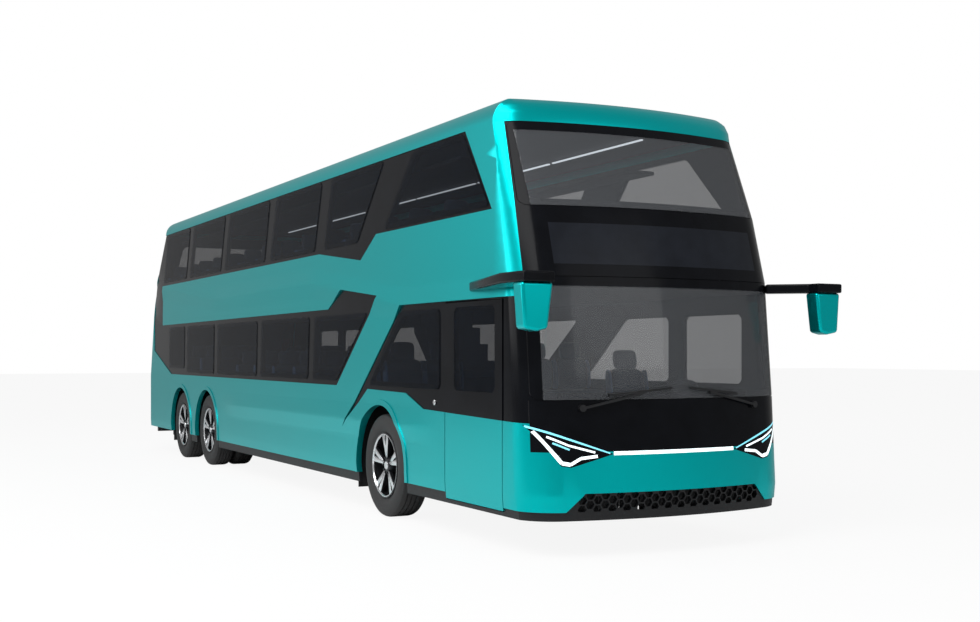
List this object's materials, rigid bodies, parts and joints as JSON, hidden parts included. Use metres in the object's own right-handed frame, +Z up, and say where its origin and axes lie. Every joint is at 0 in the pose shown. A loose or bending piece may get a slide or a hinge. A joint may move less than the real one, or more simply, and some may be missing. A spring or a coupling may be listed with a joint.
{
  "type": "double decker bus",
  "caption": "Three-axle double-decker coach with a glazed front, a hinged passenger door, steered front wheels and a rear engine lid.",
  "frame": {"origin": "on the ground, under the middle of the whole length and width", "axes": "+X forward, +Y to the left of the driver, +Z up"},
  "size_m": [14.12, 3.4, 3.8],
  "materials": {
    "paint": "teal metallic body paint with clear coat",
    "black_frame": "gloss black glazing surround",
    "tinted_glass": "dark tinted glass",
    "screen_glass": "lightly tinted windscreen glass",
    "black_panel": "gloss black panel",
    "black_trim": "satin black moulded plastic",
    "lamp": "clear lamp over white light strips",
    "tail_lamp": "red lamp lens",
    "steel": "black chassis paint",
    "floor": "grey floor covering",
    "engine": "plain engine casting",
    "dash": "dark soft-touch dashboard",
    "seat": "dark blue seat cloth",
    "tyre": "black tyre rubber",
    "alloy": "machined alloy with dark pockets",
    "rubber": "black rubber"
  },
  "bodies": {
    "coach": {"side_wall_right": "paint", "side_wall_left": "paint", "roof_panel": "paint", "rear_wall": "paint", "upper_frames": "black_frame", "lower_frames": "black_frame", "front_frame": "black_frame", "upper_side_glass": "tinted_glass", "lower_side_glass": "tinted_glass", "upper_windscreen": "screen_glass", "lower_windscreen": "screen_glass", "belt_panel": "black_panel", "nose_panel": "black_panel", "front_bumper": "paint", "bumper_grille": "black_trim", "lower_trim": "black_trim", "headlamps": "lamp", "light_bar": "lamp", "rear_window": "tinted_glass", "tail_lamps": "tail_lamp", "chassis_frame": "steel", "lower_floor": "floor", "upper_floor": "floor", "stairs": "floor", "engine_block": "engine", "engine_deck": "floor", "dashboard": "dash", "steering_wheel": "dash", "driver_seat": "seat", "lower_seats": "seat", "upper_seats": "seat", "front_axle": "steel", "drive_axle": "steel", "tag_axle": "steel", "mirror_arms": "black_trim", "mirror_heads": "paint", "wipers": "black_trim", "mud_flaps": "rubber"},
    "steer_right": {"knuckle_right": "steel"},
    "wheel_front_right": {"tyre_front_right": "tyre", "rim_front_right": "alloy"},
    "wheel_drive_right": {"tyre_drive_right": "tyre", "rim_drive_right": "alloy"},
    "wheel_tag_right": {"tyre_tag_right": "tyre", "rim_tag_right": "alloy"},
    "steer_left": {"knuckle_left": "steel"},
    "wheel_front_left": {"tyre_front_left": "tyre", "rim_front_left": "alloy"},
    "wheel_drive_left": {"tyre_drive_left": "tyre", "rim_drive_left": "alloy"},
    "wheel_tag_left": {"tyre_tag_left": "tyre", "rim_tag_left": "alloy"},
    "door": {"passenger_door": "paint", "door_glass": "tinted_glass"},
    "lid": {"engine_lid": "paint"}
  },
  "joints": [
    {"name": "steer_right", "type": "hinge", "parent": "coach", "child": "steer_right", "pos_m": [3.39, -0.88, 0.515], "axis": [0, 0, 1], "range_deg": [-40, 40]},
    {"name": "spin_front_right", "type": "hinge", "parent": "steer_right", "child": "wheel_front_right", "pos_m": [3.39, -1.118, 0.515], "axis": [0, 1, 0], "continuous": true},
    {"name": "spin_drive_right", "type": "hinge", "parent": "coach", "child": "wheel_drive_right", "pos_m": [-3.21, -1.118, 0.515], "axis": [0, 1, 0], "continuous": true},
    {"name": "spin_tag_right", "type": "hinge", "parent": "coach", "child": "wheel_tag_right", "pos_m": [-4.71, -1.118, 0.515], "axis": [0, 1, 0], "continuous": true},
    {"name": "steer_left", "type": "hinge", "parent": "coach", "child": "steer_left", "pos_m": [3.39, 0.88, 0.515], "axis": [0, 0, 1], "range_deg": [-40, 40]},
    {"name": "spin_front_left", "type": "hinge", "parent": "steer_left", "child": "wheel_front_left", "pos_m": [3.39, 1.118, 0.515], "axis": [0, 1, 0], "continuous": true},
    {"name": "spin_drive_left", "type": "hinge", "parent": "coach", "child": "wheel_drive_left", "pos_m": [-3.21, 1.118, 0.515], "axis": [0, 1, 0], "continuous": true},
    {"name": "spin_tag_left", "type": "hinge", "parent": "coach", "child": "wheel_tag_left", "pos_m": [-4.71, 1.118, 0.515], "axis": [0, 1, 0], "continuous": true},
    {"name": "door_swing", "type": "hinge", "parent": "coach", "child": "door", "pos_m": [5.97, -1.29, 1.2], "axis": [0, 0, 1], "range_deg": [0, 90]},
    {"name": "lid_lift", "type": "hinge", "parent": "coach", "child": "lid", "pos_m": [-7.05, 0, 1.22], "axis": [0, 1, 0], "range_deg": [0, 75]}
  ],
  "couplings": [
    {"joint": "steer_left", "follows": "steer_right", "ratio": 1}
  ]
}
